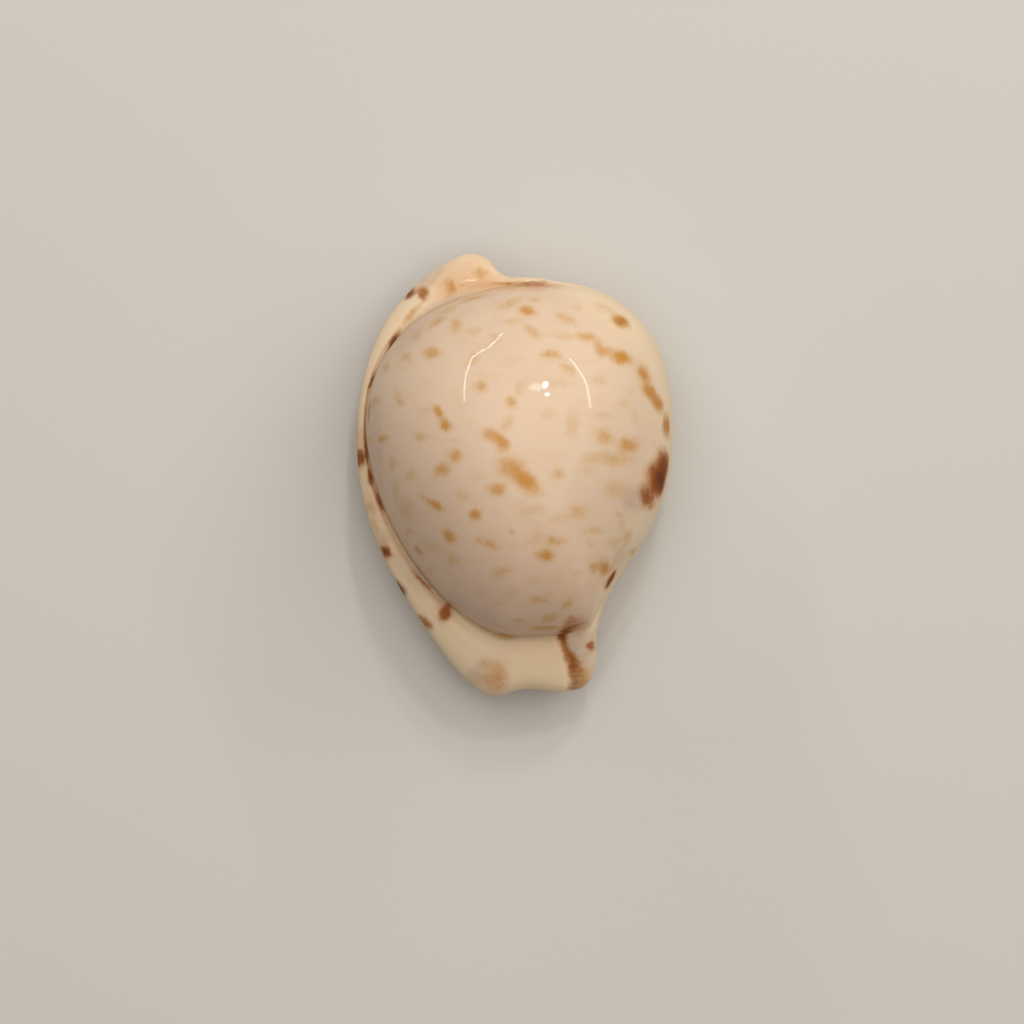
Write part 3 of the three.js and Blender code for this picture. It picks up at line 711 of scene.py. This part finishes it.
class ShellSettings(bpy.types.PropertyGroup):
    """Sizes and colours of the shell"""

    tooth_height: bpy.props.FloatProperty(
        name="Tooth height", description="How far the teeth stand out of the lips",
        default=0.8 * MM, unit="LENGTH", precision=5)
    seam_depth: bpy.props.FloatProperty(
        name="Seam depth", description="Depth of the seam beside the inner lip's front end",
        default=0.45 * MM, unit="LENGTH", precision=5)
    ripple_height: bpy.props.FloatProperty(
        name="Ripple height", description="Height of the faint waves in the polish",
        default=0.015 * MM, unit="LENGTH", precision=6)
    back_colour: bpy.props.FloatVectorProperty(
        name="Back", description="Main colour of the domed back",
        default=(0.75, 0.57, 0.41, 1), size=4, subtype="COLOR")
    # Darker, pinker colour of the back, used for its painted shade at the lower left and for its random
    # clouds
    shade_and_blush_colour: bpy.props.FloatVectorProperty(
        name="Blush", description="Pinker clouds on the domed back",
        default=(0.70, 0.49, 0.35, 1), size=4, subtype="COLOR")
    margin_colour: bpy.props.FloatVectorProperty(
        name="Margin", description="Pale colour of the margin and the base",
        default=(0.85, 0.67, 0.46, 1), size=4, subtype="COLOR")
    cream_colour: bpy.props.FloatVectorProperty(
        name="Cream", description="Yellower clouds on the margin and the base",
        default=(0.86, 0.66, 0.43, 1), size=4, subtype="COLOR")
    # Brown stain and painted shade along the groove
    groove_stain_and_shade_colour: bpy.props.FloatVectorProperty(
        name="Groove", description="Greyer glaze along the groove",
        default=(0.33, 0.19, 0.11, 1), size=4, subtype="COLOR")
    tan_colour: bpy.props.FloatVectorProperty(
        name="Tan", description="Faint freckles",
        default=(0.62, 0.37, 0.15, 1), size=4, subtype="COLOR")
    orange_colour: bpy.props.FloatVectorProperty(
        name="Orange", description="Middles of the strong freckles",
        default=(0.57, 0.26, 0.055, 1), size=4, subtype="COLOR")
    ginger_colour: bpy.props.FloatVectorProperty(
        name="Ginger", description="Soft edges of the dark marks",
        default=(0.52, 0.22, 0.07, 1), size=4, subtype="COLOR")
    rust_colour: bpy.props.FloatVectorProperty(
        name="Rust", description="Dark marks on the margin",
        default=(0.26, 0.07, 0.016, 1), size=4, subtype="COLOR")
    plum_colour: bpy.props.FloatVectorProperty(
        name="Plum", description="Darkest middles of the margin marks",
        default=(0.08, 0.02, 0.02, 1), size=4, subtype="COLOR")
    peach_colour: bpy.props.FloatVectorProperty(
        name="Peach", description="Warm tint at the ends and round the dark marks",
        default=(0.76, 0.42, 0.22, 1), size=4, subtype="COLOR")
    # Greyish haze beside the dark marks, and painted shade along the dome's foot
    lilac_haze_and_shade_colour: bpy.props.FloatVectorProperty(
        name="Lilac", description="Greyish haze beside the dark marks and along the dome's foot",
        default=(0.44, 0.30, 0.26, 1), size=4, subtype="COLOR")
    inside_colour: bpy.props.FloatVectorProperty(
        name="Inside", description="Colour of the inner walls",
        default=(0.62, 0.50, 0.46, 1), size=4, subtype="COLOR")


# The view's width, in lengths of the shell, and its shift from the shell's middle, in its own widths
VIEW_LENGTHS = 2.306
VIEW_SHIFT = (-0.0030, -0.0361, 0)


class StudioSettings(bpy.types.PropertyGroup):
    """Camera, light and floor"""

    lens: bpy.props.FloatProperty(
        name="Lens", description="Focal length of the camera", default=135, unit="CAMERA")
    view_width: bpy.props.FloatProperty(
        name="View width", description="Width of the view at the margin's height",
        default=(SHELL_HIGH.y - SHELL_LOW.y) * VIEW_LENGTHS, unit="LENGTH")
    floor_colour: bpy.props.FloatVectorProperty(
        name="Floor", description="Colour of the floor",
        default=(0.60, 0.58, 0.545, 1), size=4, subtype="COLOR")
    fill_power: bpy.props.FloatProperty(
        name="Softbox", description="Power of the broad light overhead", default=7.6, unit="POWER")
    glow_power: bpy.props.FloatProperty(
        name="Glow", description="Power of the dim light beside the glints", default=0.09, unit="POWER")
    glint_power: bpy.props.FloatProperty(
        name="Glints", description="Power of each small light that makes a glint", default=0.3, unit="POWER")
    edge_power: bpy.props.FloatProperty(
        name="Edge lights", description="Power of the slim lights, for each metre of length", default=0.95)
    ambient: bpy.props.FloatProperty(
        name="Ambient", description="Strength of the light from all round", default=0.12)


def deselect_all():
    """Leaves nothing selected, so that the next operator acts on the new piece alone."""
    bpy.ops.object.select_all(action="DESELECT")


def sphere_indices(mesh, rings):
    """The ring and the segment of each vertex of a sphere, from its place."""
    co = np.zeros(len(mesh.vertices) * 3)
    mesh.vertices.foreach_get("co", co)
    co = co.reshape(-1, 3) / np.linalg.norm(co.reshape(-1, 3), axis=1, keepdims=True)
    ring = np.rint(np.arccos(np.clip(co[:, 2], -1, 1)) / math.pi * rings).astype(int)
    turn = np.arctan2(-co[:, 0], co[:, 1]) / (2 * math.pi)
    segment = np.rint(turn * SEGMENTS).astype(int) % SEGMENTS
    return ring, np.where((ring == 0) | (ring == rings), 0, segment)


def write_masks(mesh, masks, ring, segment):
    """Stores each mask on the mesh, where the glaze reads it by name."""
    for name, values in masks.items():
        attribute = mesh.attributes.new(name, "FLOAT", "POINT")
        attribute.data.foreach_set("value", values[ring, segment].astype(np.float32))


class COWRIE_OT_shell(bpy.types.Operator):
    """Model the shell's fine surface from a sphere, and paint and glaze it"""

    bl_idname = "cowrie.shell"
    bl_label = "Build shell"

    def execute(self, context):
        settings = context.scene.cowrie_shell
        rings = sum(RING_COUNTS)
        deselect_all()
        bpy.ops.mesh.primitive_uv_sphere_add(
            segments=SEGMENTS, ring_count=rings, radius=1, location=(0, 0, 0))
        shell = context.object
        shell.name = shell.data.name = "cowrie_shell"
        point, t, v = shell_grid(settings)
        ring, segment = sphere_indices(shell.data, rings)
        if len(set(zip(ring, segment))) != len(shell.data.vertices):
            raise RuntimeError("the sphere's vertices don't match the shell's grid")
        shell.data.vertices.foreach_set("co", point[ring, segment].astype(np.float32).ravel())
        shell.data.update()
        write_masks(shell.data, shell_masks(point, t, v), ring, segment)
        bpy.ops.object.shade_smooth()
        shell.data.materials.append(glaze_material(settings))
        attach(shell, "root")
        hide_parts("shell")
        return {"FINISHED"}


# Lights, in metres: the two ends of each one's middle line, and its width
WARM = (1.0, 0.95, 0.89)
SOFTBOX = ((0.20, 0.67, 0.64), (0.12, -0.42, 0.95), 1.4)
GLOW = ((0.034, 0.425, 0.462), (0.034, 0.380, 0.498), 0.05)
GLINTS = (((0.079, 0.430, 0.452), (0.079, 0.398, 0.480)), ((0.099, 0.366, 0.501), (0.103, 0.354, 0.513)))
GLINT_WIDTH = 0.028

# Slim lights that follow the softbox's left and right edges
EDGES = (
    ((-0.122, 0.596, 0.129), (-0.192, 0.557, 0.202), (-0.262, 0.518, 0.227), (-0.304, 0.460, 0.293),
     (-0.359, 0.301, 0.417)),
    ((0.217, 0.507, 0.298), (0.310, 0.424, 0.345), (0.379, 0.341, 0.366), (0.473, 0.170, 0.374)),
)
EDGE_WIDTH = 0.016


def area_light(name, start, end, width, power, colour=(1, 1, 1), shape="RECTANGLE"):
    """A soft light between two points of its long middle line, turned to face the shell."""
    start, end = Vector(start), Vector(end)
    light = bpy.data.lights.new(name, "AREA")
    light.shape = shape
    light.size, light.size_y = width, (end - start).length
    light.energy = power
    light.color = colour
    away = ((start + end) / 2 - Vector((CENTRE.x, CENTRE.y, SHELL_HIGH.z))).normalized()
    across = (end - start).cross(away).normalized()
    turn = Matrix((across, away.cross(across), away)).transposed()
    lamp = bpy.data.objects.new(name, light)
    lamp.matrix_world = Matrix.Translation((start + end) / 2) @ turn.to_4x4()
    bpy.context.scene.collection.objects.link(lamp)


FLOOR_SIZE = 4
FLOOR_GAP = 0.05 * MM


def floor_material(colour):
    """Plain matt paper."""
    material = bpy.data.materials.new("studio_floor")
    material.use_nodes = True
    shader = material.node_tree.nodes["Principled BSDF"]
    shader.inputs["Base Color"].default_value = colour
    shader.inputs["Roughness"].default_value = 0.9
    return material


class COWRIE_OT_studio(bpy.types.Operator):
    """Set the floor, the lights and the camera"""

    bl_idname = "cowrie.studio"
    bl_label = "Set the studio"

    def execute(self, context):
        settings = context.scene.cowrie_studio
        scene = context.scene
        deselect_all()
        bpy.ops.mesh.primitive_plane_add(size=FLOOR_SIZE, location=(0, 0, SHELL_LOW.z - FLOOR_GAP))
        floor = context.object
        floor.name = "studio_floor"
        bpy.ops.object.transform_apply(location=True)
        floor.data.materials.append(floor_material(settings.floor_colour))

        world = bpy.data.worlds.new("studio_world")
        world.use_nodes = True
        world.node_tree.nodes["Background"].inputs["Color"].default_value = (1.0, 0.97, 0.93, 1)
        world.node_tree.nodes["Background"].inputs["Strength"].default_value = settings.ambient
        scene.world = world

        area_light("softbox", *SOFTBOX, settings.fill_power, WARM)
        area_light("glow", *GLOW, settings.glow_power, shape="ELLIPSE")
        for i, (start, end) in enumerate(GLINTS):
            area_light(f"glint_{i}", start, end, GLINT_WIDTH, settings.glint_power, shape="ELLIPSE")
        for edge in EDGES:
            for start, end in zip(edge, edge[1:]):
                length = (Vector(end) - Vector(start)).length
                area_light("edge", start, end, EDGE_WIDTH, settings.edge_power * length)

        margin_height = SHELL_LOW.z + MARGIN_SHARE * (SHELL_HIGH.z - SHELL_LOW.z)
        camera = bpy.data.objects.new("camera", bpy.data.cameras.new("camera"))
        camera.data.lens = settings.lens
        distance = settings.view_width * settings.lens / camera.data.sensor_width
        shift = Vector(VIEW_SHIFT) * settings.view_width
        camera.location = Vector((CENTRE.x, CENTRE.y, margin_height + distance)) + shift
        scene.collection.objects.link(camera)
        scene.camera = camera
        scene.view_settings.view_transform = "Standard"
        return {"FINISHED"}


class COWRIE_PT_panel(bpy.types.Panel):
    """The builders, in order"""

    bl_idname = "COWRIE_PT_panel"
    bl_label = "Cowrie"
    bl_space_type = "VIEW_3D"
    bl_region_type = "UI"
    bl_category = "Cowrie"

    def draw(self, context):
        for settings, operator in (("cowrie_shell", COWRIE_OT_shell), ("cowrie_studio", COWRIE_OT_studio)):
            box = self.layout.box()
            group = getattr(context.scene, settings)
            for name in group.__annotations__:
                box.prop(group, name)
            box.operator(operator.bl_idname)


CLASSES = (ShellSettings, StudioSettings, COWRIE_OT_shell, COWRIE_OT_studio, COWRIE_PT_panel)


def register():
    for cls in CLASSES:
        bpy.utils.register_class(cls)
    bpy.types.Scene.cowrie_shell = bpy.props.PointerProperty(type=ShellSettings)
    bpy.types.Scene.cowrie_studio = bpy.props.PointerProperty(type=StudioSettings)


def unregister():
    del bpy.types.Scene.cowrie_studio
    del bpy.types.Scene.cowrie_shell
    for cls in reversed(CLASSES):
        bpy.utils.unregister_class(cls)


def main():
    register()
    bpy.ops.cowrie.shell()
    bpy.ops.cowrie.studio()


if __name__ == "__main__":
    main()
